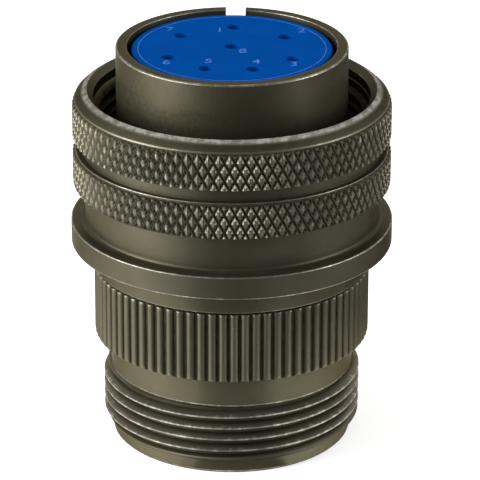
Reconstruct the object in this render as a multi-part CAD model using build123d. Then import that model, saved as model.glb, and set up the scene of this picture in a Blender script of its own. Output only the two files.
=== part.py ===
from build123d import *
import os
from math import cos, radians, sin

# A straight plug with a threaded coupling nut, crimp contacts and a blue insert.
# Millimetres. Z is the axis: the rear end face lies at z = 0 and the contacts face +Z.
# The keyway in the barrel points along +Y.

# Shell, from its rear end forwards
pilot_radius = 14.02
pilot_length = 1.75
pilot_chamfer = 0.27
rear_thread_radius = 15.08
rear_thread_length = 6.95
rear_thread_chamfer = 0.70
relief_radius = 14.25
relief_length = 3.78
grip_radius = 16.11
grip_length = 8.72
grip_chamfer = 0.25
band_length = 3.55
neck_radius = 13.55
barrel_radius = 13.38
barrel_length = 18.69
barrel_chamfer = 0.18
barrel_wall = 1.28
rear_bore_radius = 12.70
rear_bore_depth = 24.00
bore_chamfer = 0.30

# Straight flutes round the grip
flute_count = 78
flute_width = 0.56
flute_depth = 0.36
flute_root_width = 0.12
flute_groove_width = 0.30
flute_groove_depth = 0.40

# Keyway through the barrel wall
keyway_width = 2.33
keyway_depth = 8.00

# Flange on the shell that the coupling nut turns on
flange_length = 1.60
running_clearance = 0.08

# Coupling nut, from its rear end forwards
skirt_overlap = 0.78
nut_play = 0.15
nut_flange_radius = 18.73
nut_flange_length = 2.77
nut_flange_chamfer = 0.20
nut_neck_radius = 17.10
nut_neck_length = 4.46
nut_neck_fillet = 0.40
knurl_radius = 18.48
lower_knurl_length = 4.30
knurl_bevel = 0.30
knurl_count = 96
knurl_tooth_height = 2.20
knurl_depth = 0.34
knurl_turn = 1.17
lower_knurl_first_row = 1.14
upper_knurl_first_row = 0.60
knurl_groove_radius = 17.50
knurl_groove_length = 1.50
upper_knurl_length = 4.20
nose_step = 0.15
nose_land_radius = 18.20
nose_land_length = 0.15
nose_bevel_radius = 17.44
nose_bevel_length = 0.70
mouth_radius = 16.70
mouth_length = 0.40
coupling_bore_radius = 15.20
coupling_relief_radius = 16.00
coupling_relief_length = 1.00
guide_step = 0.12
guide_length = 2.50
skirt_clearance = 0.25

# Snap ring that holds the nut on the shell, and the washer it pushes on
nut_ring_thickness = 1.10
nut_ring_inner_radius = 14.10
nut_ring_outer_radius = 15.95
nut_ring_opening = 20.0
ring_side_clearance = 0.05
ring_rim_clearance = 0.05
ring_lip_radius = 15.45
ring_lip_length = 0.70
ring_lip_chamfer = 0.25
washer_thickness = 0.60
washer_clearance = 0.10
washer_rim_width = 1.25
washer_opening = 4.0

# Seal in the undercut round the foot of the barrel
seal_length = 1.60
seal_outer_radius = 14.80
seal_clearance = 0.02
seal_chamfer = 0.30
undercut_depth = 0.20
undercut_spare = 0.40

# Contacts: places on the insert, as radius and angle from the keyway, and one near the centre
contact_ring = (
    (7.31, 0.0),
    (7.33, 55.2),
    (7.77, 114.4),
    (7.28, 158.1),
    (7.28, -158.1),
    (7.77, -114.4),
    (7.33, -55.2),
)
centre_contact_offset = 0.70

# Front insert
insert_clearance = 0.05
insert_recess = 0.38
insert_nose_radius = 11.55
insert_nose_length = 3.00
insert_edge_chamfer = 0.15
entry_radius = 0.85
entry_length = 1.50
entry_chamfer = 0.08
cavity_clearance = 0.12

# Rear insert that carries the retention clips
carrier_length = 9.50
carrier_flange_length = 3.00
carrier_clearance = 0.10

# Wire grommet
grommet_recess = 1.60
grommet_clearance = 0.10
grommet_spigot_radius = 11.70
wire_hole_radius = 1.25
wire_web_radius = 0.80
wire_web_length = 1.00
wire_web_pitch = 6.00
wire_web_count = 2

# Snap ring behind the rear insert
insert_ring_thickness = 1.20
insert_ring_inner_radius = 11.95
insert_ring_outer_radius = 13.30
insert_ring_opening = 36.0

# Socket contact
contact_rear_length = 10.30
contact_gap = 0.20
contact_body_radius = 1.30
collar_radius = 1.60
collar_length = 1.20
collar_pocket_depth = 1.30
collar_clearance = 0.15
socket_outer_radius = 1.05
socket_length = 8.90
socket_bore_radius = 0.80
socket_bore_depth = 8.00
socket_slot_width = 0.30
socket_slot_depth = 6.50
wire_well_radius = 0.85
wire_well_depth = 6.40
peep_hole_radius = 0.40
peep_hole_height = 5.20

# Hood over the socket's tines
hood_wall = 0.20
hood_clearance = 0.01
hood_overhang = 0.10

# Retention clip
clip_wall = 0.20
clip_clearance = 0.05
clip_sleeve_length = 3.30
clip_finger_length = 2.30
clip_finger_gap = 0.08
clip_finger_count = 3
clip_slot_width = 0.70
clip_seam_width = 0.30

# Heights that the lengths above add up to
rear_thread_height = pilot_length
relief_height = rear_thread_height + rear_thread_length
grip_height = relief_height + relief_length
band_height = grip_height + grip_length
neck_height = band_height + band_length
nut_foot_height = neck_height - skirt_overlap
lip_height = neck_height + nut_play
ring_groove_height = lip_height + ring_lip_length
ring_groove_length = nut_ring_thickness + 2 * ring_side_clearance
nut_ring_height = ring_groove_height + ring_side_clearance
guide_height = ring_groove_height + ring_groove_length
washer_height = nut_ring_height + nut_ring_thickness + washer_clearance
flange_height = washer_height + washer_thickness
seal_height = flange_height + flange_length
undercut_top = seal_height + seal_length + undercut_spare
barrel_top = seal_height + barrel_length
thread_height = guide_height + guide_length
insert_face_height = barrel_top - insert_recess
carrier_height = rear_bore_depth - carrier_flange_length
joint_height = carrier_height + carrier_length
insert_ring_groove_length = insert_ring_thickness + 2 * ring_side_clearance
insert_ring_groove_height = carrier_height - insert_ring_groove_length
insert_ring_height = insert_ring_groove_height + ring_side_clearance
contact_top = insert_face_height - entry_length - contact_gap
collar_top = joint_height + collar_pocket_depth
collar_height = collar_top - collar_length
contact_height = collar_top - contact_rear_length
clip_top = collar_height - 2 * ring_side_clearance
clip_height = clip_top - clip_sleeve_length - clip_finger_length

# Radii that follow from a mating piece and its clearance
undercut_radius = barrel_radius - undercut_depth
seal_inner_radius = undercut_radius + seal_clearance
barrel_bore_radius = barrel_radius - barrel_wall
insert_radius = barrel_bore_radius - insert_clearance
carrier_flange_radius = rear_bore_radius - carrier_clearance
grommet_radius = rear_bore_radius - grommet_clearance
guide_radius = coupling_bore_radius - guide_step
flange_radius = guide_radius - running_clearance
skirt_radius = grip_radius + skirt_clearance
ring_groove_radius = nut_ring_outer_radius + ring_rim_clearance
washer_outer_radius = neck_radius + seal_clearance + washer_rim_width
insert_ring_groove_radius = insert_ring_outer_radius + ring_rim_clearance
hood_inner_radius = socket_outer_radius + hood_clearance
hood_outer_radius = hood_inner_radius + hood_wall
cavity_radius = max(contact_body_radius, hood_outer_radius) + cavity_clearance
collar_pocket_radius = collar_radius + collar_clearance
clip_inner_radius = collar_pocket_radius
clip_outer_radius = clip_inner_radius + clip_wall
clip_pocket_radius = clip_outer_radius + clip_clearance
clip_tip_radius = contact_body_radius + clip_finger_gap


def turned(*outline):
    """A body of revolution about Z, from the corners of its half section as (radius, height)."""
    corners = [(radius, 0, height) for radius, height in outline]
    return revolve(make_face(Polyline(*corners, close=True)), axis=Axis.Z)


def turned_with_round(radius_of_round, corner, *outline):
    """The same, with one corner of the half section rounded."""
    corners = [(radius, 0, height) for radius, height in outline]
    section = make_face(Polyline(*corners, close=True))
    point = section.vertices().sort_by_distance((corner[0], 0, corner[1]))[0]
    return revolve(fillet(point, radius_of_round), axis=Axis.Z)


def tube(outer_radius, inner_radius, low, high):
    """A plain tube between two heights."""
    return turned((inner_radius, low), (outer_radius, low), (outer_radius, high), (inner_radius, high))


def disc(radius, low, high):
    """A plain round bar between two heights."""
    return turned((0, low), (radius, low), (radius, high), (0, high))


def slot_cutter(width, reach, low, high):
    """A bar along X through the axis, wide in Y, that cuts a slot between two heights."""
    return Pos(0, 0, (low + high) / 2) * Box(2 * reach, width, high - low)


def radial_gap(degrees, reach, low, high, towards=0.0):
    """A wedge from the axis that opens a ring, centred on an angle from +X."""
    half = radians(degrees / 2)
    corners = [(0, 0), (reach * cos(half), -reach * sin(half)), (reach * cos(half), reach * sin(half))]
    wedge = extrude(make_face(Polyline(*corners, close=True)), amount=high - low)
    return Rot(0, 0, towards) * Pos(0, 0, low) * wedge


def contact_places():
    """Centres of the contacts on the insert, in order round from the keyway, then the middle one."""
    places = []
    for radius, angle in contact_ring:
        turn = radians(90 - angle)
        places.append((radius * cos(turn), radius * sin(turn)))
    places.append((0.0, centre_contact_offset))
    return places


def at_contacts(shape):
    """Copies of one shape at every contact place."""
    return [Pos(x, y, 0) * shape for x, y in contact_places()]


def flute_cutters():
    """The straight grooves of the grip, each a narrow trapezoid that widens outwards."""
    root = grip_radius - flute_depth
    rim = grip_radius + flute_depth
    outer_half = flute_width / 2 + (flute_width - flute_root_width) / 2
    corners = [
        (root, -flute_root_width / 2),
        (rim, -outer_half),
        (rim, outer_half),
        (root, flute_root_width / 2),
    ]
    length = grip_length - flute_groove_width / 2
    flute = Pos(0, 0, grip_height) * extrude(make_face(Polyline(*corners, close=True)), amount=length)
    return [Rot(0, 0, 360 * (index + 0.5) / flute_count) * flute for index in range(flute_count)]


def keyway_cutter():
    """The round-ended slot that polarises the barrel, cut through its wall on the +Y side."""
    half = keyway_width / 2
    foot = barrel_top - keyway_depth + half
    above = barrel_top + keyway_width
    bar = Pos(0, barrel_radius, (foot + above) / 2) * Box(keyway_width, barrel_radius, above - foot)
    mill = Pos(0, barrel_radius, foot) * Rot(90, 0, 0) * Cylinder(half, barrel_radius)
    return bar + mill


def plug_shell():
    """The turned shell: rear pilot and thread, fluted grip, nut flange and keyed barrel."""
    outside = turned(
        (0, 0),
        (pilot_radius - pilot_chamfer, 0),
        (pilot_radius, pilot_chamfer),
        (pilot_radius, rear_thread_height),
        (rear_thread_radius - rear_thread_chamfer, rear_thread_height),
        (rear_thread_radius, rear_thread_height + rear_thread_chamfer),
        (rear_thread_radius, relief_height),
        (relief_radius, relief_height),
        (relief_radius, grip_height),
        (grip_radius - grip_chamfer, grip_height),
        (grip_radius, grip_height + grip_chamfer),
        (grip_radius, band_height - flute_groove_width),
        (grip_radius - flute_groove_depth, band_height - flute_groove_width),
        (grip_radius - flute_groove_depth, band_height),
        (grip_radius, band_height),
        (grip_radius, neck_height),
        (neck_radius, neck_height),
        (neck_radius, flange_height),
        (flange_radius, flange_height),
        (flange_radius, seal_height),
        (undercut_radius, seal_height),
        (undercut_radius, undercut_top),
        (barrel_radius, undercut_top),
        (barrel_radius, barrel_top - barrel_chamfer),
        (barrel_radius - barrel_chamfer, barrel_top),
        (0, barrel_top),
    )
    inside = turned(
        (0, 0),
        (rear_bore_radius + bore_chamfer, 0),
        (rear_bore_radius, bore_chamfer),
        (rear_bore_radius, insert_ring_groove_height),
        (insert_ring_groove_radius, insert_ring_groove_height),
        (insert_ring_groove_radius, carrier_height),
        (rear_bore_radius, carrier_height),
        (rear_bore_radius, rear_bore_depth),
        (barrel_bore_radius, rear_bore_depth),
        (barrel_bore_radius, barrel_top),
        (0, barrel_top),
    )
    return outside - flute_cutters() - inside - keyway_cutter()


def knurled_band(low, high, first_row):
    """A disc as thick as one band, with its rim in staggered rows of four-sided teeth."""
    half_tooth = knurl_tooth_height / 2
    rows_of_teeth = int((high - low - first_row) / half_tooth) + 1
    heights = [high] + [high - first_row - half_tooth * row for row in range(rows_of_teeth)] + [low]
    columns = 2 * knurl_count

    def corner(row, column):
        """Tooth tips and groove crossings alternate along a row, and from row to row."""
        rows_down = (high - first_row - heights[row]) / half_tooth
        from_tip = abs(rows_down - 2 * round(rows_down / 2))
        if column % 2:
            from_tip = 1 - from_tip
        radius = knurl_radius - knurl_depth * from_tip
        if heights[row] in (low, high):
            radius = min(radius, knurl_radius - knurl_bevel)
        turn = radians(knurl_turn + 360 * column / columns)
        return Vector(radius * cos(turn), radius * sin(turn), heights[row])

    def flat(*corners):
        return Face(Wire.make_polygon(corners))

    faces = []
    for row in range(len(heights) - 1):
        for column in range(columns):
            upper = corner(row, column)
            lower = corner(row + 1, column)
            upper_next = corner(row, column + 1)
            lower_next = corner(row + 1, column + 1)
            if (row + column) % 2:
                faces += [flat(upper, lower, lower_next), flat(upper, lower_next, upper_next)]
            else:
                faces += [flat(upper, lower, upper_next), flat(lower, lower_next, upper_next)]
    for row in (0, len(heights) - 1):
        faces.append(flat(*[corner(row, column) for column in range(columns)]))
    return Solid(Shell(faces))


def coupling_nut():
    """The free-turning nut: rear flange, neck, two knurled bands and a bevelled mouth."""
    foot = nut_foot_height
    neck_foot = foot + nut_flange_length
    lower_knurl = neck_foot + nut_neck_length
    groove = lower_knurl + lower_knurl_length
    upper_knurl = groove + knurl_groove_length
    nose = upper_knurl + upper_knurl_length
    bevel = nose + nose_step + nose_land_length
    mouth = bevel + nose_bevel_length
    front = mouth + mouth_length
    middle_of_lower = (lower_knurl + groove) / 2
    middle_of_upper = (upper_knurl + nose) / 2
    outside = turned_with_round(
        nut_neck_fillet,
        (nut_neck_radius, neck_foot),
        (0, foot),
        (nut_flange_radius - nut_flange_chamfer, foot),
        (nut_flange_radius, foot + nut_flange_chamfer),
        (nut_flange_radius, neck_foot - nut_flange_chamfer),
        (nut_flange_radius - nut_flange_chamfer, neck_foot),
        (nut_neck_radius, neck_foot),
        (nut_neck_radius, middle_of_lower),
        (knurl_groove_radius, middle_of_lower),
        (knurl_groove_radius, middle_of_upper),
        (nose_land_radius - knurl_depth, middle_of_upper),
        (nose_land_radius - knurl_depth, nose),
        (nose_land_radius, nose + nose_step),
        (nose_land_radius, bevel),
        (nose_bevel_radius, mouth),
        (mouth_radius, front),
        (0, front),
    )
    countersink = mouth_radius - coupling_relief_radius
    relief_top = front - countersink
    relief_foot = relief_top - coupling_relief_length
    inside = turned(
        (0, foot),
        (skirt_radius, foot),
        (skirt_radius, lip_height),
        (ring_lip_radius + ring_lip_chamfer, lip_height),
        (ring_lip_radius, lip_height + ring_lip_chamfer),
        (ring_lip_radius, ring_groove_height),
        (ring_groove_radius, ring_groove_height),
        (ring_groove_radius, guide_height),
        (guide_radius, guide_height),
        (guide_radius, thread_height),
        (coupling_bore_radius, thread_height + guide_step),
        (coupling_bore_radius, relief_foot - (coupling_relief_radius - coupling_bore_radius)),
        (coupling_relief_radius, relief_foot),
        (coupling_relief_radius, relief_top),
        (mouth_radius, front),
        (0, front),
    )
    lower_band = knurled_band(lower_knurl, groove, lower_knurl_first_row)
    upper_band = knurled_band(upper_knurl, nose, upper_knurl_first_row)
    return outside + lower_band + upper_band - inside


def nut_retaining_ring():
    """The open spring ring in the nut's inner groove, which pulls on the shell's flange."""
    top = nut_ring_height + nut_ring_thickness
    ring = tube(nut_ring_outer_radius, nut_ring_inner_radius, nut_ring_height, top)
    return ring - radial_gap(nut_ring_opening, 2 * nut_ring_outer_radius, nut_ring_height, top, -90)


def thrust_washer():
    """The split low-friction washer between the spring ring and the flange."""
    inner = neck_radius + seal_clearance
    ring = tube(washer_outer_radius, inner, washer_height, flange_height)
    return ring - radial_gap(washer_opening, 2 * washer_outer_radius, washer_height, flange_height, 90)


def barrel_seal():
    """The rubber gasket that lies on the flange, in the undercut at the foot of the barrel."""
    top = seal_height + seal_length
    return turned(
        (seal_inner_radius, seal_height),
        (seal_outer_radius, seal_height),
        (seal_outer_radius, top - seal_chamfer),
        (seal_outer_radius - seal_chamfer, top),
        (seal_inner_radius, top),
    )


def front_insert():
    """The hard blue insert with closed-entry contact cavities."""
    step = insert_face_height - insert_nose_length
    body = turned(
        (0, joint_height),
        (insert_radius, joint_height),
        (insert_radius, step),
        (insert_nose_radius, step),
        (insert_nose_radius, insert_face_height - insert_edge_chamfer),
        (insert_nose_radius - insert_edge_chamfer, insert_face_height),
        (0, insert_face_height),
    )
    cavity = turned(
        (0, joint_height),
        (collar_pocket_radius, joint_height),
        (collar_pocket_radius, collar_top),
        (cavity_radius, collar_top),
        (cavity_radius, insert_face_height - entry_length),
        (entry_radius, insert_face_height - entry_length),
        (entry_radius, insert_face_height - entry_chamfer),
        (entry_radius + entry_chamfer, insert_face_height),
        (0, insert_face_height),
    )
    return body - at_contacts(cavity)


def clip_carrier():
    """The rear insert, seated on the shell's inner ledge, with a pocket for each retention clip."""
    body = turned(
        (0, carrier_height),
        (carrier_flange_radius, carrier_height),
        (carrier_flange_radius, rear_bore_depth),
        (insert_radius, rear_bore_depth),
        (insert_radius, joint_height),
        (0, joint_height),
    )
    pocket = turned(
        (0, carrier_height),
        (collar_pocket_radius, carrier_height),
        (collar_pocket_radius, clip_height),
        (clip_pocket_radius, clip_height),
        (clip_pocket_radius, joint_height),
        (0, joint_height),
    )
    return body - at_contacts(pocket)


def wire_grommet():
    """The soft rear seal, with thin webs in each wire hole."""
    step = insert_ring_groove_height - ring_side_clearance
    body = turned(
        (0, grommet_recess),
        (grommet_radius, grommet_recess),
        (grommet_radius, step),
        (grommet_spigot_radius, step),
        (grommet_spigot_radius, carrier_height),
        (0, carrier_height),
    )
    hole = [(0, grommet_recess), (wire_hole_radius, grommet_recess)]
    for index in range(wire_web_count):
        web_foot = grommet_recess + (index + 0.5) * wire_web_pitch
        web_top = web_foot + wire_web_length
        hole += [(wire_hole_radius, web_foot), (wire_web_radius, web_foot)]
        hole += [(wire_web_radius, web_top), (wire_hole_radius, web_top)]
    hole += [(wire_hole_radius, carrier_height), (0, carrier_height)]
    return body - at_contacts(turned(*hole))


def insert_retaining_ring():
    """The open spring ring in the shell's rear bore that keeps the inserts on their ledge."""
    top = insert_ring_height + insert_ring_thickness
    ring = tube(insert_ring_outer_radius, insert_ring_inner_radius, insert_ring_height, top)
    return ring - radial_gap(insert_ring_opening, 2 * insert_ring_outer_radius, insert_ring_height, top, -90)


def socket_contact():
    """A size 16 crimp socket: two tines at the front, a collar, and a wire well with a peep hole."""
    socket_foot = contact_top - socket_length
    body = turned(
        (0, contact_height),
        (contact_body_radius, contact_height),
        (contact_body_radius, collar_height),
        (collar_radius, collar_height),
        (collar_radius, collar_top),
        (contact_body_radius, collar_top),
        (contact_body_radius, socket_foot),
        (socket_outer_radius, socket_foot),
        (socket_outer_radius, contact_top - hood_overhang),
        (0, contact_top - hood_overhang),
    )
    bore = disc(socket_bore_radius, contact_top - socket_bore_depth, contact_top)
    well = disc(wire_well_radius, contact_height, contact_height + wire_well_depth)
    slot = slot_cutter(socket_slot_width, contact_body_radius, contact_top - socket_slot_depth, contact_top)
    peep = Pos(contact_body_radius, 0, contact_height + peep_hole_height) * Rot(0, 90, 0)
    return body - bore - well - slot - peep * Cylinder(peep_hole_radius, 2 * contact_body_radius)


def contact_hood():
    """The thin steel sleeve pressed over the tines."""
    return tube(hood_outer_radius, hood_inner_radius, contact_top - socket_length, contact_top)


def retention_clip():
    """The rolled spring clip whose fingers close behind the contact's collar."""
    shoulder = clip_height + clip_sleeve_length
    sleeve = turned(
        (clip_inner_radius, clip_height),
        (clip_outer_radius, clip_height),
        (clip_outer_radius, shoulder),
        (clip_tip_radius + clip_wall, clip_top),
        (clip_tip_radius, clip_top),
        (clip_inner_radius, shoulder),
    )
    seam = Pos(clip_outer_radius, 0, (clip_height + clip_top) / 2)
    sleeve -= seam * Box(clip_outer_radius, clip_seam_width, clip_top - clip_height)
    finger_middle = (shoulder + clip_top) / 2
    finger_gap = Pos(clip_outer_radius, 0, finger_middle)
    finger_gap *= Box(clip_outer_radius, clip_slot_width, clip_top - shoulder)
    return sleeve - [Rot(0, 0, 360 * k / clip_finger_count) * finger_gap for k in range(clip_finger_count)]


def write(name, shape):
    """One STEP file for each node."""
    export_step(shape, f"parts/{name}.step")


os.makedirs("parts", exist_ok=True)
write("plug_shell", plug_shell())
write("coupling_nut", coupling_nut())
write("nut_retaining_ring", nut_retaining_ring())
write("thrust_washer", thrust_washer())
write("barrel_seal", barrel_seal())
write("front_insert", front_insert())
write("clip_carrier", clip_carrier())
write("wire_grommet", wire_grommet())
write("insert_retaining_ring", insert_retaining_ring())
for name, shape in (
    ("socket_contact", socket_contact()),
    ("contact_hood", contact_hood()),
    ("retention_clip", retention_clip()),
):
    for number, (x, y) in enumerate(contact_places(), start=1):
        write(f"{name}_{number}", Pos(x, y, 0) * shape)
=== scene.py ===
from math import cos, pi, radians, sin, tau

import bmesh
import bpy
import numpy as np
from mathutils import Matrix, Quaternion, Vector


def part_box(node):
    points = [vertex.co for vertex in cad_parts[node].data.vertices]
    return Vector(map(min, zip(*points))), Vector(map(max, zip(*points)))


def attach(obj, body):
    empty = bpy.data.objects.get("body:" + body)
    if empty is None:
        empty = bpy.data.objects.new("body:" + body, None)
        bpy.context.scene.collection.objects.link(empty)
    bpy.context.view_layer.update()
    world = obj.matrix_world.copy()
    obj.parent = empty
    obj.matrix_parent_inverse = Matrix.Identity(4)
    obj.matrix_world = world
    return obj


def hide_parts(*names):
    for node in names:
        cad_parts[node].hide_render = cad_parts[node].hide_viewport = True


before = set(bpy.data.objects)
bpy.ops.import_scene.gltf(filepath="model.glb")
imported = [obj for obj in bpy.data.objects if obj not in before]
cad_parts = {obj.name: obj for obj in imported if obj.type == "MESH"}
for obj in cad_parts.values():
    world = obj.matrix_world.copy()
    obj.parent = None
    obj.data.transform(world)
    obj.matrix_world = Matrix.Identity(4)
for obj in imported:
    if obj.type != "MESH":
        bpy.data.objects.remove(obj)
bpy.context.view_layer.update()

# Plug shell
# Turned from aluminium bar and plated a satin olive drab: rear thread, fluted grip, nut flange and keyed
# barrel in one piece. It replaces the plain solid, because the thread and the rounded flutes are cut here.
MM = 0.001

# Heights from the rear end and radii, all in millimetres
shell_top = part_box("plug_shell")[1]
barrel_top = shell_top.z / MM
grip_radius = shell_top.x / MM
pilot_radius = 14.02
pilot_chamfer = 0.27
rear_edge_radius = 13.30
rear_thread_foot = 1.75
rear_thread_chamfer = 0.70
rear_thread_radius = 15.08
rear_thread_root = 14.12
rear_thread_full = 8.42
rear_thread_end = 8.68
rear_thread_crest = 3.37
relief_radius = 14.25
thread_pitch = 25.4 / 18
grip_foot = 12.48
flute_end = 20.90
band_foot = 21.20
band_top = 24.75
neck_radius = 13.55
flange_foot = 27.45
flange_top = 29.05
flange_radius = 15.00
undercut_radius = 13.18
undercut_top = 31.05
barrel_radius = 13.38
barrel_rim_chamfer = 0.12
barrel_bore_radius = 12.10
ledge_height = 24.00
rear_bore_radius = 12.70
rear_bore_chamfer = 0.30
rear_face_radius = 13.15
ring_groove_radius = 13.35
ring_groove_foot = 19.70
ring_groove_top = 21.00
flute_count = 78
flute_depth = 0.36
flute_end_floor = grip_radius - 0.40
flute_turn = radians(0.75)
keyway_width = 2.33
keyway_depth = 8.00

# One flute and the ridge beside it, as (place across it, height below the ridge's top, wear and shading): the
# ridge's crown is rubbed and painted light as a highlight, and the flute's floor is painted dark as shade
flute_section = (
    (-0.44, 0.215, -0.35),
    (-0.31, 0.095, 0.12),
    (-0.15, 0.022, 0.20),
    (0.00, 0.000, 0.20),
    (0.15, 0.022, 0.20),
    (0.31, 0.095, 0.12),
    (0.44, 0.215, -0.35),
    (0.560, flute_depth, -1.1),
    (0.738, flute_depth, -1.1),
)


def eased(corners, ease=0.06, reach=0.12):
    """Rows of a turned run, as (radius, height, wear and shading): corners are broken; where they stick out
    they are worn and lightened as a painted highlight, and where they turn inwards they are darkened as
    painted shade.
    """
    points = [Vector(corner) for corner in corners]
    rows = [(*corners[0], 0.0)]
    for before, here, after in zip(points, points[1:], points[2:]):
        back, ahead = before - here, after - here
        far_back, far_ahead = min(reach, back.length * 0.45), min(reach, ahead.length * 0.45)
        near = min(ease, far_back, far_ahead)
        back.normalize()
        ahead.normalize()
        # Corners that stick out get a light value (wear and painted highlight); corners that turn inwards get
        # a dark value (painted shade).
        wear_and_shading = 0.78 if ahead.x * back.y - ahead.y * back.x > 0 else -0.7
        middle = here + (back + ahead) * near * 0.3
        if far_back > 1.3 * near:
            rows.append((*(here + back * far_back), 0.0))
        rows.append((*(here + back * near), wear_and_shading * 0.7))
        rows.append((*middle, wear_and_shading))
        rows.append((*(here + ahead * near), wear_and_shading * 0.7))
        if far_ahead > 1.3 * near:
            rows.append((*(here + ahead * far_ahead), 0.0))
    rows.append((*corners[-1], 0.0))
    return rows


def square(*corners):
    """Rows of a turned run that stays out of sight, with square corners and no wear."""
    return [(*corner, 0.0) for corner in corners]


# The rows in one turn of a thread, in parts of its pitch above the middle of the crest
thread_phases = (-0.0625, 0.0, 0.0625, 0.22, 0.375, 0.5, 0.625, 0.78)
thread_steps = len(thread_phases)


def thread_rows(turns_at, low, high, crest_at, radius_of):
    """Rows that climb with a right-hand thread and stop flat at both ends, as (radius, height, wear and
    shading).
    """
    first = int((low - crest_at) / thread_pitch) - 2
    last = int((high - crest_at) / thread_pitch) + 2
    rows = []
    for turn in range(first, last):
        for phase in thread_phases:
            height = crest_at + (turn + phase + turns_at) * thread_pitch
            height = np.clip(height, low, high)
            along = (height - crest_at) / thread_pitch - turns_at
            from_crest = np.abs(along - np.round(along))
            radius, wear_and_shading = radius_of(from_crest, height)
            rows.append((radius, height, wear_and_shading))
    return rows


def turned_piece(name, angles, rows):
    """A closed mesh from rows that go up the outside and down the inside, with a value on each corner for
    wear and for painted highlight and shade.

    Rows that climb with a thread meet the row one turn on at the seam. Each quad is split so that the new
    edge joins the two corners that are closest in radius.
    """
    count = len(angles)
    table = np.array([[np.broadcast_to(value, count) for value in row] for row in rows], float)
    radius, height, wear_and_shading = table[:, 0], table[:, 1], table[:, 2]
    places = np.stack([radius * np.cos(angles), radius * np.sin(angles), height], -1) * MM
    mesh = bpy.data.meshes.new(name)
    row_index, column_index = np.mgrid[0 : len(rows), 0:count]
    next_row, next_column = (row_index + 1) % len(rows), (column_index + 1) % count
    around = np.arange(len(rows))
    choices = np.clip(around + np.array([[0], [thread_steps], [-thread_steps]]), 0, len(rows) - 1)
    gaps = np.hypot(radius[choices, 0] - radius[:, -1], height[choices, 0] - height[:, -1])
    climbing = np.abs(height[:, 0] - height[:, -1]) > 1e-6
    around = np.where(climbing, choices[gaps.argmin(0), around], around)
    at_seam = next_column == 0
    beside = np.where(at_seam, around[row_index], row_index)
    beside_next = np.where(at_seam, around[next_row], next_row)
    quads = np.stack(
        [
            row_index * count + column_index,
            beside * count + next_column,
            beside_next * count + next_column,
            next_row * count + column_index,
        ],
        -1,
    )
    rise = np.abs(radius[row_index, column_index] - radius[beside_next, next_column])
    fall = np.abs(radius[beside, next_column] - radius[next_row, column_index])
    quads = np.where((fall < rise)[..., None], np.roll(quads, 1, -1), quads)
    mesh.from_pydata(places.reshape(-1, 3).tolist(), [], quads.reshape(-1, 4).tolist())
    # This attribute holds rubbed and grimy plating, and also painted highlights on edges and painted shade in
    # corners and hollows.
    mesh.attributes.new("wear_and_shading", "FLOAT", "POINT").data.foreach_set("value", wear_and_shading.reshape(-1))
    sheet = bmesh.new()
    sheet.from_mesh(mesh)
    bmesh.ops.remove_doubles(sheet, verts=sheet.verts, dist=2e-7)
    bmesh.ops.dissolve_degenerate(sheet, edges=sheet.edges, dist=1e-8)
    sheet.to_mesh(mesh)
    sheet.free()
    piece = bpy.data.objects.new(name, mesh)
    bpy.context.scene.collection.objects.link(piece)
    return piece


def soften(piece, sharp_degrees=38):
    """Smooth shading that keeps edges sharper than this angle."""
    piece.data.shade_smooth()
    piece.data.set_sharp_from_angle(angle=radians(sharp_degrees))


def cut_away(piece, cutter):
    """Takes the cutter's volume out of the piece, and deletes the cutter."""
    cut = piece.modifiers.new("cut", "BOOLEAN")
    cut.object = cutter
    cut.solver = "EXACT"
    bpy.context.view_layer.update()
    result = piece.evaluated_get(bpy.context.evaluated_depsgraph_get())
    mesh = bpy.data.meshes.new_from_object(result)
    piece.modifiers.clear()
    piece.data = mesh
    bpy.data.objects.remove(cutter)


def keyway_cutter():
    """A bar with a round foot, as wide as the keyway, that reaches through the barrel's wall at +Y."""
    half = keyway_width / 2
    foot = barrel_top - keyway_depth + half
    outline = [(half, barrel_top + half), (-half, barrel_top + half)]
    for step in range(25):
        turn = pi + pi * step / 24
        outline.append((half * cos(turn), foot + half * sin(turn)))
    near, far = barrel_bore_radius * 0.7, barrel_radius * 1.1
    mesh = bpy.data.meshes.new("keyway_cutter")
    count = len(outline)
    places = [(x * MM, y * MM, z * MM) for y in (near, far) for x, z in outline]
    walls = [(i, (i + 1) % count, (i + 1) % count + count, i + count) for i in range(count)]
    mesh.from_pydata(places, [], [tuple(reversed(range(count))), tuple(range(count, 2 * count)), *walls])
    solid = bmesh.new()
    solid.from_mesh(mesh)
    bmesh.ops.recalc_face_normals(solid, faces=solid.faces)
    solid.to_mesh(mesh)
    solid.free()
    cutter = bpy.data.objects.new("keyway_cutter", mesh)
    bpy.context.scene.collection.objects.link(cutter)
    return cutter


def noise(tree, vector, scale, detail=4.0, roughness=0.55, stretch=(1, 1, 1)):
    """A noise texture in the piece's own space, with its vector stretched along the axes."""
    spread = tree.nodes.new("ShaderNodeVectorMath")
    spread.operation = "MULTIPLY"
    spread.inputs[1].default_value = stretch
    tree.links.new(vector, spread.inputs[0])
    texture = tree.nodes.new("ShaderNodeTexNoise")
    texture.inputs["Scale"].default_value = scale
    texture.inputs["Detail"].default_value = detail
    texture.inputs["Roughness"].default_value = roughness
    tree.links.new(spread.outputs[0], texture.inputs["Vector"])
    return texture.outputs["Fac"]


def ranged(tree, value, low, high, to_low=0.0, to_high=1.0):
    """A value mapped from one range to another, and clamped."""
    node = tree.nodes.new("ShaderNodeMapRange")
    tree.links.new(value, node.inputs["Value"])
    for name, number in (("From Min", low), ("From Max", high), ("To Min", to_low), ("To Max", to_high)):
        node.inputs[name].default_value = number
    return node.outputs["Result"]


def reckoned(tree, operation, first, second):
    """One step of arithmetic on two values, each a socket or a number."""
    node = tree.nodes.new("ShaderNodeMath")
    node.operation = operation
    for socket, value in zip(node.inputs, (first, second)):
        if isinstance(value, (int, float)):
            socket.default_value = value
        else:
            tree.links.new(value, socket)
    return node.outputs[0]


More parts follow.
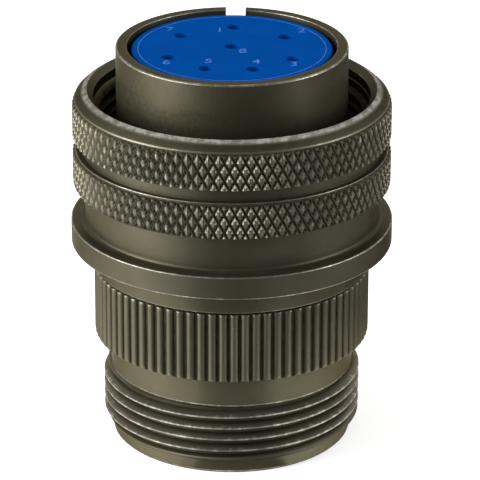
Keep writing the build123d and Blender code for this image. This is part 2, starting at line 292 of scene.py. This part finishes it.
def mixed(tree, share, first, second):
    """A colour between two colours, each a socket or three numbers."""
    node = tree.nodes.new("ShaderNodeMix")
    node.data_type = "RGBA"
    tree.links.new(share, node.inputs["Factor"])
    for socket, value in ((node.inputs["A"], first), (node.inputs["B"], second)):
        if isinstance(value, tuple):
            socket.default_value = (*value, 1)
        else:
            tree.links.new(value, socket)
    return node.outputs["Result"]


def new_group(name, inputs, outputs):
    """An empty shader node group with named sockets, as (group, its input node, its output node)."""
    group = bpy.data.node_groups.new(name, "ShaderNodeTree")
    for label, kind in inputs:
        group.interface.new_socket(label, in_out="INPUT", socket_type=kind)
    for label, kind in outputs:
        group.interface.new_socket(label, in_out="OUTPUT", socket_type=kind)
    return group, group.nodes.new("NodeGroupInput"), group.nodes.new("NodeGroupOutput")


def worn_plating_group():
    """Satin plating over aluminium: mottled colour, turning marks, rubbed edges that are also a painted
    highlight, and a grime tone in corners and hollows that is also painted shade.
    """
    group, given, made = new_group(
        "plating_wear_and_shading",
        (
            ("Wear and shading", "NodeSocketFloat"),
            ("Plating", "NodeSocketColor"),
            ("Mottle", "NodeSocketColor"),
            ("Rubbed and highlight", "NodeSocketColor"),
            ("Grime and shade", "NodeSocketColor"),
        ),
        (("Color", "NodeSocketColor"), ("Roughness", "NodeSocketFloat"), ("Height", "NodeSocketFloat")),
    )
    place = group.nodes.new("ShaderNodeTexCoord").outputs["Object"]
    cloud = noise(group, place, 210.0, 5.0, 0.6)
    grain = noise(group, place, 2600.0, 3.0, 0.6)
    turning = noise(group, place, 1.0, 2.0, 0.7, stretch=(180, 180, 9000))
    patches = noise(group, place, 900.0, 6.0, 0.75)
    wear_and_shading = given.outputs["Wear and shading"]
    # Rubbed patches where the value is high: rubbed plating, and broken painted highlight lines along edges
    # and crests.
    wear_and_light_marks = reckoned(group, "SUBTRACT", wear_and_shading, ranged(group, patches, 0.32, 0.66, 0.12, 1.05))
    wear_and_light_marks = ranged(group, wear_and_light_marks, 0.0, 0.45)
    thick = ranged(group, patches, 0.2, 0.6, 0.55, 1.0)
    # Dark grime tone where the value is below zero: grime, and painted shade in corners, roots and hollows.
    dark_grime_and_shade_mask = reckoned(group, "MULTIPLY", ranged(group, wear_and_shading, -0.05, -0.8), thick)
    shade = mixed(group, ranged(group, cloud, 0.35, 0.68), given.outputs["Plating"], given.outputs["Mottle"])
    # Every edge with a value above zero is lightened evenly towards the rubbed tone: a painted edge
    # highlight.
    shade = mixed(group, ranged(group, wear_and_shading, 0.0, 0.9, 0.0, 0.32), shade, given.outputs["Rubbed and highlight"])
    shade = mixed(group, dark_grime_and_shade_mask, shade, given.outputs["Grime and shade"])
    shade = mixed(group, wear_and_light_marks, shade, given.outputs["Rubbed and highlight"])
    group.links.new(shade, made.inputs["Color"])
    rough = ranged(group, grain, 0.3, 0.7, 0.36, 0.46)
    rough = reckoned(group, "ADD", rough, ranged(group, dark_grime_and_shade_mask, 0.0, 1.0, 0.0, 0.18))
    rough = reckoned(group, "SUBTRACT", rough, ranged(group, wear_and_light_marks, 0.0, 1.0, 0.0, 0.08))
    group.links.new(rough, made.inputs["Roughness"])
    height = reckoned(group, "ADD", grain, reckoned(group, "MULTIPLY", turning, 0.8))
    group.links.new(height, made.inputs["Height"])
    return group


plating_wear_and_shading = worn_plating_group()


def plating_material(name, plating, mottle):
    """Olive-drab plated aluminium that reads its wear, its painted highlights and its painted shade from the
    mesh.
    """
    material = bpy.data.materials.new(name)
    material.use_nodes = True
    tree = material.node_tree
    shader = tree.nodes["Principled BSDF"]
    finish = tree.nodes.new("ShaderNodeGroup")
    finish.node_tree = plating_wear_and_shading
    wear_and_shading = tree.nodes.new("ShaderNodeAttribute")
    wear_and_shading.attribute_name = "wear_and_shading"
    tree.links.new(wear_and_shading.outputs["Fac"], finish.inputs["Wear and shading"])
    finish.inputs["Plating"].default_value = (*plating, 1)
    finish.inputs["Mottle"].default_value = (*mottle, 1)
    # The rubbed tone is also the painted highlight colour, and the grime tone is also the painted shade
    # colour.
    finish.inputs["Rubbed and highlight"].default_value = (0.44, 0.42, 0.37, 1)
    finish.inputs["Grime and shade"].default_value = (0.022, 0.020, 0.011, 1)
    bump = tree.nodes.new("ShaderNodeBump")
    bump.inputs["Strength"].default_value = 0.10
    bump.inputs["Distance"].default_value = 0.00003
    tree.links.new(finish.outputs["Height"], bump.inputs["Height"])
    tree.links.new(finish.outputs["Color"], shader.inputs["Base Color"])
    tree.links.new(finish.outputs["Roughness"], shader.inputs["Roughness"])
    tree.links.new(bump.outputs["Normal"], shader.inputs["Normal"])
    shader.inputs["Metallic"].default_value = 0.85
    shader.inputs["Specular Tint"].default_value = (0.30, 0.28, 0.24, 1)
    return material


def rear_thread_radius_of(from_crest, height):
    """The rear thread's radius, wear and shading, with a chamfer at its start and a run-out at its end:
    crests are rubbed and painted light as a highlight, and roots are painted dark as shade.

    Half its crest is a sixteenth of the pitch wide, and its flank five sixteenths.
    """
    flank = np.clip((from_crest - 1 / 16) / (5 / 16), 0, 1)
    radius = rear_thread_radius - flank * (rear_thread_radius - rear_thread_root)
    start = rear_thread_radius - rear_thread_chamfer + (height - rear_thread_foot)
    run_out = (height - rear_thread_full) / (rear_thread_end - rear_thread_full)
    end = rear_thread_radius - run_out * (rear_thread_radius - relief_radius)
    limit = np.minimum(start, end)
    # Crests light (rubbed plating and painted highlight), roots dark (painted shade).
    wear_and_shading = np.where(from_crest < 0.07, 0.72, np.where(from_crest > 0.36, -0.5, 0.30))
    wear_and_shading = np.where(limit < radius - 0.02, 0.25, wear_and_shading)
    return np.maximum(np.minimum(radius, limit), rear_thread_root - 0.02), wear_and_shading


def shell_rows(angles):
    """The shell's whole outline: up the outside from the rear face, over the rim and down the bores."""
    across = np.array([place for place, _, _ in flute_section] * flute_count)
    below = np.array([depth for _, depth, _ in flute_section] * flute_count)
    wear_and_light_marks = np.array([wear_and_shading for _, _, wear_and_shading in flute_section] * flute_count)
    ridge = np.maximum(1 - below / flute_depth, 0)
    fluted = grip_radius - below

    def capped(radius, height, wear_and_shading):
        return np.minimum(fluted, radius), height, np.where(fluted < radius, wear_and_light_marks, wear_and_shading)

    rows = eased(
        [
            (rear_edge_radius, 0.0),
            (pilot_radius - pilot_chamfer, 0.0),
            (pilot_radius, pilot_chamfer),
            (pilot_radius, rear_thread_foot),
        ]
    )
    first_crest = rear_thread_crest + thread_pitch / 4
    rows += thread_rows(angles / tau, rear_thread_foot, rear_thread_end, first_crest, rear_thread_radius_of)
    # The relief's upper edge and the ridge ends are painted light as highlights, partly rubbed plating; the
    # grip's foot and the floor below the band are painted dark as shade.
    rows += [
        (relief_radius, rear_thread_end + 0.02, 0.75),
        (relief_radius, rear_thread_end + 0.12, 0.60),
        (relief_radius, rear_thread_end + 0.22, 0.0),
        (relief_radius, grip_foot - 0.40, 0.0),
        (relief_radius, grip_foot - 0.20, -0.5),
        (relief_radius + 0.04, grip_foot - 0.08, -0.7),
        (relief_radius + 0.14, grip_foot, -0.7),
        capped(grip_radius - 0.42, grip_foot, 0.0),
        capped(grip_radius - 0.27, grip_foot + 0.01, 0.5 * ridge),
        capped(grip_radius - 0.14, grip_foot + 0.10, 0.6 * ridge),
        capped(grip_radius - 0.02, grip_foot + 0.26, 0.5 * ridge),
        (fluted, grip_foot + 0.50, wear_and_light_marks),
        (fluted, (grip_foot + flute_end) / 2, wear_and_light_marks),
        (fluted, flute_end - 0.45, wear_and_light_marks),
        (fluted, flute_end - 0.10, np.where(ridge > 0.3, 0.4, wear_and_light_marks)),
        capped(grip_radius - 0.05, flute_end - 0.03, 0.6 * ridge),
        capped(grip_radius - 0.16, flute_end + 0.03, 0.2 * ridge),
        (flute_end_floor, flute_end + 0.10, -0.9),
        (flute_end_floor, band_foot - 0.05, -0.9),
        (flute_end_floor + 0.05, band_foot, -0.8),
    ]
    rows += eased(
        [
            (grip_radius - 0.25, band_foot),
            (grip_radius, band_foot),
            (grip_radius, band_top),
            (neck_radius, band_top),
        ]
    )
    rows += square(
        (neck_radius, flange_foot),
        (flange_radius, flange_foot),
        (flange_radius, flange_top),
        (undercut_radius, flange_top),
        (undercut_radius, undercut_top),
    )
    rows += eased(
        [
            (barrel_radius, undercut_top),
            (barrel_radius, barrel_top - barrel_rim_chamfer),
            (barrel_radius - barrel_rim_chamfer, barrel_top),
            (barrel_bore_radius, barrel_top),
            (barrel_bore_radius, ledge_height),
        ]
    )
    rows += square(
        (rear_bore_radius, ledge_height),
        (rear_bore_radius, ring_groove_top),
        (ring_groove_radius, ring_groove_top),
        (ring_groove_radius, ring_groove_foot),
        (rear_bore_radius, ring_groove_foot),
        (rear_bore_radius, rear_bore_chamfer),
        (rear_bore_radius + rear_bore_chamfer, 0.0),
        (rear_face_radius, 0.0),
    )
    return rows


flute_pitch_angle = tau / flute_count
flute_places = np.array([place for place, _, _ in flute_section]) / grip_radius
shell_angles = (flute_turn + np.arange(flute_count)[:, None] * flute_pitch_angle + flute_places).reshape(-1)
plug_shell = turned_piece("plug_shell_turned", shell_angles, shell_rows(shell_angles))
cut_away(plug_shell, keyway_cutter())
soften(plug_shell)
shell_plating = plating_material("shell_plating", (0.100, 0.090, 0.059), (0.084, 0.076, 0.047))
plug_shell.data.materials.clear()
plug_shell.data.materials.append(shell_plating)
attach(plug_shell, "shell")
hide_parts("plug_shell")


# Barrel seal
# A moulded rubber gasket, pushed over the barrel on to its flange. The receptacle's shell presses on it when
# the nut is done up.
def dressed(nodes, material):
    """Gives solids that already have their true shape a material in every slot."""
    for node in nodes:
        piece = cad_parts[node]
        piece.data.materials.clear()
        piece.data.materials.append(material)


def plain_material(name, deep, pale, roughness, metallic=0.0, grain_scale=900.0, bump=0.05, specular=0.5):
    """A plain finish: two close tones in soft patches, and a fine grain in its gloss and surface."""
    material = bpy.data.materials.new(name)
    material.use_nodes = True
    tree = material.node_tree
    shader = tree.nodes["Principled BSDF"]
    place = tree.nodes.new("ShaderNodeTexCoord").outputs["Object"]
    cloud = noise(tree, place, grain_scale * 0.3, 4.0)
    grain = noise(tree, place, grain_scale, 3.0, 0.6)
    tree.links.new(mixed(tree, ranged(tree, cloud, 0.35, 0.65), deep, pale), shader.inputs["Base Color"])
    low, high = roughness
    tree.links.new(ranged(tree, grain, 0.3, 0.7, low, high), shader.inputs["Roughness"])
    raised = tree.nodes.new("ShaderNodeBump")
    raised.inputs["Strength"].default_value = bump
    raised.inputs["Distance"].default_value = 0.00005
    tree.links.new(grain, raised.inputs["Height"])
    tree.links.new(raised.outputs["Normal"], shader.inputs["Normal"])
    shader.inputs["Metallic"].default_value = metallic
    shader.inputs["Specular IOR Level"].default_value = specular
    return material


seal_rubber = plain_material(
    "seal_rubber", (0.012, 0.012, 0.011), (0.022, 0.021, 0.019), (0.60, 0.80), bump=0.20
)
dressed(["barrel_seal"], seal_rubber)

# Thrust washer and spring rings
# A split washer of low-friction plastic behind the flange, and the open steel ring that pushes on it, which
# sits in the nut's inner groove and turns with the nut. A second ring in the shell holds the inserts.
washer_plastic = plain_material("washer_plastic", (0.62, 0.60, 0.52), (0.72, 0.70, 0.62), (0.40, 0.55))
dressed(["thrust_washer"], washer_plastic)
spring_steel = plain_material(
    "spring_steel", (0.42, 0.41, 0.39), (0.52, 0.51, 0.49), (0.28, 0.42), metallic=1.0
)
dressed(["nut_retaining_ring", "insert_retaining_ring"], spring_steel)

# Coupling nut
# Turned and diamond-knurled from aluminium bar, plated as the shell is and rubbed on its teeth, whose tips
# also carry a painted highlight and whose roots painted shade. It turns freely on the shell's flange and
# draws the plug on to its receptacle with the thread cut inside it here.
nut_low, nut_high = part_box("coupling_nut")
nut_foot = nut_low.z / MM
nut_top = nut_high.z / MM
nut_flange_radius = nut_high.x / MM
nut_foot_chamfer = 0.14
nut_flange_chamfer = 0.08
nut_flange_top = nut_foot + 2.77
nut_neck_radius = 17.10
knurl_radius = 18.48
foot_bevel = 0.12
knurl_groove_radius = 17.50
lower_knurl = (nut_flange_top + 4.46, nut_flange_top + 8.76)
upper_knurl = (lower_knurl[1] + 1.50, lower_knurl[1] + 5.70)
lower_teeth_top = lower_knurl[1] - 0.26
lower_row_height = 34.20
upper_row_drop = 0.82
nose_land_radius = 18.20
nose_bevel_radius = 17.44
mouth_radius = 16.70
coupling_minor_radius = 15.20
coupling_major_radius = 15.875
coupling_relief_radius = 16.00
coupling_relief_length = 1.00
guide_radius = 15.08
guide_foot = 26.80
coupling_thread_foot = 29.42
coupling_first_crest = 29.45
skirt_radius = 16.36
ring_lip_radius = 15.45
ring_lip_chamfer = 0.25
nut_ring_groove_radius = 16.00
nut_ring_groove_foot = guide_foot - 1.20
ring_lip_foot = guide_foot - 1.90
diamonds_round = 96
diamond_columns = 6
diamond_height = 2.20
knurl_depth = 0.34
knurl_turn = radians(1.17)


def knurl_rows(low, high, first_row, top_bevel):
    """One knurled band: flat-topped diamond teeth in staggered rows, turned down to the roots at its ends.

    The first row of teeth stands as far below the band's top as first_row says.
    """
    half = diamond_columns / 2
    step = diamond_height / diamond_columns
    column = np.arange(diamonds_round * diamond_columns)
    across = np.abs((column + half) % diamond_columns - half) / half
    ends = [low, low + foot_bevel, high - top_bevel, high]
    between = [high - first_row - step * index for index in range(int((high - low) / step), -5, -1)]
    heights = sorted(ends + [height for height in between if min(abs(height - end) for end in ends) > 0.07])
    rows = []
    for height in heights:
        if not low <= height <= high:
            continue
        rows_down = (high - first_row - height) / (diamond_height / 2)
        up = abs(rows_down - 2 * round(rows_down / 2))
        from_tip = np.minimum(across + up, 2 - across - up)
        radius = knurl_radius - knurl_depth * np.interp(from_tip, (0, 1 / 3, 2 / 3, 1), (0, 0.06, 0.30, 1))
        # Tooth tips light (rubbed plating and painted highlight), roots dark (painted shade in the grooves).
        wear_and_shading = np.interp(from_tip, (0, 1 / 3, 2 / 3, 1), (0.55, 0.52, 0.05, -1.3))
        from_end = min((high - height) / top_bevel, (height - low) / foot_bevel, 1)
        cap = knurl_radius - knurl_depth * (1 - from_end)
        rows.append((np.minimum(radius, cap), height, np.where(radius > cap + 0.01, 0.1, wear_and_shading)))
    return rows


def coupling_radius_of(from_crest, height):
    """The inner thread's radius, and dark values that paint shade over the whole inner thread: its crests
    stand inwards at the minor radius.
    """
    flank = np.clip((from_crest - 0.10) / 0.30, 0, 1)
    radius = coupling_minor_radius + flank * (coupling_major_radius - coupling_minor_radius)
    return radius, np.where(from_crest < 0.08, -0.8, -1.2)


def nut_rows(angles):
    """The nut's whole outline: up the outside from its foot, over the mouth and down the thread and guide."""
    nose = upper_knurl[1]
    relief_top = nut_top - (mouth_radius - coupling_relief_radius)
    relief_slope = coupling_relief_radius - coupling_minor_radius
    thread_top = relief_top - coupling_relief_length - relief_slope
    rows = eased(
        [
            (skirt_radius + 0.6, nut_foot),
            (nut_flange_radius - nut_foot_chamfer, nut_foot),
            (nut_flange_radius, nut_foot + nut_foot_chamfer),
            (nut_flange_radius, nut_flange_top - nut_flange_chamfer),
            (nut_flange_radius - nut_flange_chamfer, nut_flange_top),
            (nut_neck_radius + 0.60, nut_flange_top),
        ],
    )
    # A small fillet at the foot of the neck, darkened as painted shade to dim its highlight.
    rows += [
        (nut_neck_radius + 0.50, nut_flange_top, 0.0),
        (nut_neck_radius + 0.25, nut_flange_top + 0.05, -0.20),
        (nut_neck_radius + 0.08, nut_flange_top + 0.16, -0.45),
        (nut_neck_radius + 0.01, nut_flange_top + 0.32, -0.30),
        (nut_neck_radius, nut_flange_top + 0.46, 0.0),
    ]
    rows += eased(
        [
            (nut_neck_radius, nut_flange_top + 0.60),
            (nut_neck_radius, lower_knurl[0]),
            (knurl_radius - knurl_depth, lower_knurl[0]),
        ]
    )
    rows += knurl_rows(lower_knurl[0], lower_teeth_top, lower_teeth_top - lower_row_height, 0.10)
    rows += eased(
        [
            (knurl_radius - knurl_depth, lower_teeth_top),
            (knurl_radius - knurl_depth, lower_knurl[1]),
            (knurl_groove_radius, lower_knurl[1]),
            (knurl_groove_radius, upper_knurl[0]),
            (knurl_radius - knurl_depth, upper_knurl[0]),
        ]
    )
    rows += knurl_rows(*upper_knurl, upper_row_drop, 0.14)
    # The nose land and the mouth's lip are painted light as highlights, partly rubbed plating; the bevel
    # between them is painted dark as shade.
    rows += [
        (knurl_radius - knurl_depth, nose, -0.3),
        (nose_land_radius - 0.05, nose + 0.04, -0.3),
        (nose_land_radius, nose + 0.22, 0.2),
        (nose_land_radius - 0.05, nose + 0.36, 0.5),
        (nose_land_radius - 0.16, nose + 0.46, -0.45),
        (nose_bevel_radius + 0.14, nose + 0.88, -0.60),
        (nose_bevel_radius + 0.02, nose + 0.99, -0.2),
        (nose_bevel_radius - 0.10, nose + 1.07, 0.6),
        (nose_bevel_radius - 0.30, nose + 1.20, 0.9),
        (mouth_radius + 0.25, nut_top - 0.08, 0.8),
        (mouth_radius + 0.08, nut_top, 0.8),
        (mouth_radius, nut_top - 0.04, 0.5),
    ]
    rows += eased(
        [
            (mouth_radius, nut_top - 0.08),
            (coupling_relief_radius, relief_top),
            (coupling_relief_radius, thread_top + relief_slope),
            (coupling_minor_radius, thread_top),
        ],
        ease=0.05,
        reach=0.15,
    )[:-1]
    threads = thread_rows(
        angles / tau, coupling_thread_foot, thread_top, coupling_first_crest, coupling_radius_of
    )
    rows += threads[::-1]
    rows += square(
        (guide_radius, coupling_thread_foot - 0.12),
        (guide_radius, guide_foot),
        (nut_ring_groove_radius, guide_foot),
        (nut_ring_groove_radius, nut_ring_groove_foot),
        (ring_lip_radius, nut_ring_groove_foot),
        (ring_lip_radius, ring_lip_foot + ring_lip_chamfer),
        (ring_lip_radius + ring_lip_chamfer, ring_lip_foot),
        (skirt_radius, ring_lip_foot),
        (skirt_radius, nut_foot),
    )
    return rows


nut_columns = diamonds_round * diamond_columns
nut_angles = knurl_turn + np.arange(nut_columns) * tau / nut_columns
coupling_nut = turned_piece("coupling_nut_knurled", nut_angles, nut_rows(nut_angles))
soften(coupling_nut, 25)
nut_plating = plating_material("nut_plating", (0.108, 0.098, 0.068), (0.090, 0.082, 0.055))
coupling_nut.data.materials.append(nut_plating)
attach(coupling_nut, "nut")
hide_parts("coupling_nut")

# Clip carrier and front insert
# Two hard blue mouldings pushed into the shell from behind. The rear one holds a spring clip for each
# contact, and the front one has a moulded entry for each pin.
insert_blue = plain_material(
    "insert_blue",
    (0.000, 0.054, 0.267),
    (0.000, 0.060, 0.297),
    (0.42, 0.52),
    grain_scale=700.0,
    bump=0.10,
    specular=0.001,
)
dressed(["front_insert", "clip_carrier"], insert_blue)

# Printed numbers and line on the insert
# Pale blue ink from a pad, worn thin so that the moulding shows through: plain numbers beside the holes and
# one fine line round the edge of the face.
face_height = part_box("front_insert")[1].z / MM
ink_thickness = 0.012
number_height = 1.40
line_radius = 10.80
line_width = 0.09

# Each contact's place, as (radius, degrees from the keyway), and its number's place beside it, as (right, up)
contact_ring = (
    (7.31, 0.0),
    (7.33, 55.2),
    (7.77, 114.4),
    (7.28, 158.1),
    (7.28, -158.1),
    (7.77, -114.4),
    (7.33, -55.2),
)
centre_contact = (0.0, 0.70)
number_offsets = (
    (-1.65, -1.20),
    (1.84, 2.10),
    (0.10, -1.85),
    (0.19, 2.30),
    (0.19, 2.30),
    (-0.20, -1.85),
    (-1.45, 1.95),
    (1.25, -1.65),
)


def ink_material():
    """Pale ink with worn patches that let the blue through."""
    material = bpy.data.materials.new("printed_ink")
    material.use_nodes = True
    tree = material.node_tree
    shader = tree.nodes["Principled BSDF"]
    place = tree.nodes.new("ShaderNodeTexCoord").outputs["Object"]
    patches = noise(tree, place, 1500.0, 4.0, 0.7)
    tone = mixed(tree, ranged(tree, patches, 0.38, 0.62), (0.008, 0.095, 0.380), (0.060, 0.200, 0.600))
    tree.links.new(tone, shader.inputs["Base Color"])
    tree.links.new(ranged(tree, patches, 0.3, 0.7, 0.55, 0.75), shader.inputs["Roughness"])
    shader.inputs["Specular IOR Level"].default_value = 0.2
    return material


def number_mesh(text, x, y):
    """One printed number as a thin mesh on the insert's face, upright when the keyway is at the top."""
    curve = bpy.data.curves.new("number_" + text, "FONT")
    curve.body = text
    curve.size = number_height / 0.70 * MM
    curve.align_x = "CENTER"
    curve.align_y = "CENTER"
    curve.extrude = ink_thickness / 2 * MM
    curve.resolution_u = 4
    letter = bpy.data.objects.new("number_" + text, curve)
    bpy.context.scene.collection.objects.link(letter)
    bpy.context.view_layer.update()
    mesh = bpy.data.meshes.new_from_object(letter.evaluated_get(bpy.context.evaluated_depsgraph_get()))
    mesh.transform(Matrix.Translation((x * MM, y * MM, (face_height + ink_thickness / 2) * MM)))
    bpy.data.objects.remove(letter)
    return mesh


def joined(name, meshes):
    """Several meshes as one piece."""
    whole = bmesh.new()
    for mesh in meshes:
        whole.from_mesh(mesh)
    result = bpy.data.meshes.new(name)
    whole.to_mesh(result)
    whole.free()
    piece = bpy.data.objects.new(name, result)
    bpy.context.scene.collection.objects.link(piece)
    return piece


contact_places = [
    (radius * sin(radians(angle)), radius * cos(radians(angle))) for radius, angle in contact_ring
]
contact_places.append(centre_contact)
numbers = []
for index, ((x, y), (right, up)) in enumerate(zip(contact_places, number_offsets), start=1):
    numbers.append(number_mesh(str(index), x + right, y + up))
ink_marks = joined("insert_numbers", numbers)
line_angles = np.arange(240) * tau / 240
line_rows = [
    (line_radius + side * line_width / 2, face_height + up * ink_thickness, 0.0)
    for side, up in ((-1, 0), (1, 0), (1, 1), (-1, 1))
]
ink_line = turned_piece("insert_line", line_angles, line_rows)
printed_ink = ink_material()
for piece in (ink_marks, ink_line):
    piece.data.materials.append(printed_ink)
    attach(piece, "shell")

# Contacts, hoods and clips
# Eight crimp sockets turned from copper alloy and gold-plated, each with a thin steel hood pressed over its
# tines and a rolled copper-alloy clip that closes behind its collar. They are pushed in from behind.
contact_numbers = range(1, len(contact_places) + 1)
for kind, finish, deep, pale, roughness in (
    ("socket_contact", "contact_gold", (0.78, 0.50, 0.16), (0.86, 0.60, 0.24), (0.22, 0.34)),
    ("contact_hood", "hood_steel", (0.40, 0.40, 0.39), (0.50, 0.50, 0.49), (0.28, 0.40)),
    ("retention_clip", "clip_copper", (0.66, 0.38, 0.20), (0.76, 0.48, 0.28), (0.28, 0.40)),
):
    metal = plain_material(finish, deep, pale, roughness, metallic=1.0)
    dressed([f"{kind}_{number}" for number in contact_numbers], metal)

# Wire grommet
# A soft silicone plug behind the carrier, with a hole for each wire. The spring ring in front of its shoulder
# keeps both inserts on their ledge.
grommet_rubber = plain_material(
    "grommet_rubber",
    (0.20, 0.030, 0.016),
    (0.25, 0.042, 0.022),
    (0.55, 0.72),
    grain_scale=1200.0,
    bump=0.25,
    specular=0.3,
)
dressed(["wire_grommet"], grommet_rubber)

# Studio
# A pale floor that shows white but keeps the plug's soft shadow, a large soft box on the left and a weaker
# one on the right. Toned cards in the air and on the floor, which only reflections see, draw the metal's
# shape.


def light_path_white(tree):
    """1 for rays that see the background straight, by reflection or through glass, and 0 for its light."""
    path = tree.nodes.new("ShaderNodeLightPath")
    seen = reckoned(tree, "MAXIMUM", path.outputs["Is Camera Ray"], path.outputs["Is Glossy Ray"])
    return reckoned(tree, "MAXIMUM", seen, path.outputs["Is Transmission Ray"])


def floor_material():
    """Pale paint that is lifted to white where the camera or a reflection sees it in full light."""
    material = bpy.data.materials.new("studio_floor")
    material.use_nodes = True
    tree = material.node_tree
    shader = tree.nodes["Principled BSDF"]
    shader.inputs["Base Color"].default_value = (0.86, 0.86, 0.86, 1)
    shader.inputs["Roughness"].default_value = 0.95
    shader.inputs["Specular IOR Level"].default_value = 0.0
    shader.inputs["Emission Color"].default_value = (1, 1, 1, 1)
    lift = reckoned(tree, "MULTIPLY", light_path_white(tree), 0.50)
    tree.links.new(lift, shader.inputs["Emission Strength"])
    return material


floor_reach = 3.0
floor_mesh = bpy.data.meshes.new("studio_floor")
floor_corners = [(x * floor_reach, y * floor_reach, 0) for x, y in ((-1, -1), (1, -1), (1, 1), (-1, 1))]
floor_mesh.from_pydata(floor_corners, [], [(0, 1, 2, 3)])
floor = bpy.data.objects.new("studio_floor", floor_mesh)
bpy.context.scene.collection.objects.link(floor)
floor.data.materials.append(floor_material())

world = bpy.data.worlds.new("studio_world")
bpy.context.scene.world = world
world.use_nodes = True
world_tree = world.node_tree
background = world_tree.nodes["Background"]
background.inputs["Color"].default_value = (1, 1, 1, 1)
world_tree.links.new(
    ranged(world_tree, light_path_white(world_tree), 0.0, 1.0, 0.55, 1.0), background.inputs["Strength"]
)


def facing(piece, target):
    """Turns a lamp or card so that its -Z side looks at a point."""
    piece.rotation_mode = "QUATERNION"
    piece.rotation_quaternion = (Vector(target) - piece.location).to_track_quat("-Z", "Y")


def soft_box(name, place, width, height, power):
    """A rectangular soft box aimed at the middle of the plug."""
    lamp = bpy.data.lights.new(name, "AREA")
    lamp.shape = "RECTANGLE"
    lamp.size = width
    lamp.size_y = height
    lamp.energy = power
    box = bpy.data.objects.new(name, lamp)
    box.location = place
    facing(box, (0, 0, 0.022))
    bpy.context.scene.collection.objects.link(box)


def seen_in_reflections(card, tone):
    """Gives a card an even tone that only reflections see."""
    bpy.context.scene.collection.objects.link(card)
    material = bpy.data.materials.new(card.name)
    material.use_nodes = True
    shader = material.node_tree.nodes["Principled BSDF"]
    shader.inputs["Base Color"].default_value = (0, 0, 0, 1)
    shader.inputs["Specular IOR Level"].default_value = 0.0
    shader.inputs["Emission Color"].default_value = (tone, tone, tone, 1)
    shader.inputs["Emission Strength"].default_value = 1.0
    card.data.materials.append(material)
    card.visible_camera = False
    card.visible_diffuse = False
    card.visible_shadow = False
    card.visible_transmission = False


def toned_card(name, place, width, height, target, tone):
    """A rectangular card that faces a point."""
    mesh = bpy.data.meshes.new(name)
    half_width, half_height = width / 2, height / 2
    corners = [(-half_width, -half_height, 0), (half_width, -half_height, 0), (half_width, half_height, 0)]
    mesh.from_pydata([*corners, (-half_width, half_height, 0)], [], [(0, 1, 2, 3)])
    card = bpy.data.objects.new(name, mesh)
    card.location = place
    facing(card, target)
    seen_in_reflections(card, tone)


def floor_card(name, left, right, near, far, tone):
    """A rectangular card that lies on the floor."""
    place = ((left + right) / 2, (near + far) / 2, 0.002)
    toned_card(name, place, right - left, far - near, (place[0], place[1], -1.0), tone)


def foot_card(name, inner, outer, first, last, tone):
    """A curved card on the floor round the plug's foot, between two angles in degrees."""
    turns = [radians(first + (last - first) * step / 24) for step in range(25)]
    places = [(radius * cos(turn), radius * sin(turn), 0.0002) for radius in (inner, outer) for turn in turns]
    mesh = bpy.data.meshes.new(name)
    mesh.from_pydata(places, [], [(i, i + 1, i + 26, i + 25) for i in range(24)])
    seen_in_reflections(bpy.data.objects.new(name, mesh), tone)


soft_box("soft_box_left", (-0.42, -0.16, 0.20), 0.30, 0.36, 3.6)
soft_box("soft_box_right", (0.50, -0.10, 0.22), 0.16, 0.36, 1.4)
toned_card("card_front", (0.10, -0.50, 0.10), 0.80, 0.60, (0, 0, 0.02), 0.16)
toned_card("card_overhead", (0.0, -0.25, 0.50), 1.60, 0.50, (0, 0, 0.02), 0.04)
toned_card("card_behind", (-0.46, 0.20, 0.42), 0.50, 0.36, (0, 0, 0.04), 0.45)
floor_card("card_middle", -0.04, 0.12, -0.096, -0.045, 0.19)
floor_card("card_far", -0.23, 0.47, -0.546, -0.097, 0.04)
floor_card("card_left", -0.275, -0.105, -0.01, 0.11, 0.25)
floor_card("card_right_near", 0.037, 0.060, -0.055, 0.145, 0.0)
floor_card("card_right_middle", 0.061, 0.098, -0.055, 0.145, 0.80)
floor_card("card_right_far", 0.099, 0.57, -0.055, 0.145, 0.0)
foot_card("card_foot", 0.0143, 0.0235, 253, 300, 0.36)
foot_card("glow_front", 0.0236, 0.0345, 246, 300, 0.90)
foot_card("card_relief", 0.0346, 0.0460, 246, 300, 0.06)
foot_card("glow_left", 0.0143, 0.0450, 120, 246, 2.30)
foot_card("glow_right", 0.0143, 0.0370, -60, 60, 2.10)

# Camera
# A long lens from a little above, as the photograph looks down on the rim, with the plug just left of the
# middle. Its focal length is given in pixels of the 480-pixel picture.
camera_elevation = radians(22.85)
camera_azimuth = radians(1.8)
camera_distance = 0.4258
camera_roll = radians(0.15)
focal_pixels = 3633.8
picture_pixels = 480
aim = Vector((0.00097, 0.0, 0.02350))
camera_data = bpy.data.cameras.new("camera")
camera_data.sensor_width = 36.0
camera_data.lens = camera_data.sensor_width * focal_pixels / picture_pixels
camera = bpy.data.objects.new("camera", camera_data)
camera.location = aim + camera_distance * Vector(
    (
        sin(camera_azimuth) * cos(camera_elevation),
        -cos(camera_azimuth) * cos(camera_elevation),
        sin(camera_elevation),
    )
)
facing(camera, aim)
camera.rotation_quaternion = camera.rotation_quaternion @ Quaternion((0, 0, 1), camera_roll)
bpy.context.scene.collection.objects.link(camera)
bpy.context.scene.camera = camera
bpy.context.scene.view_settings.view_transform = "Standard"
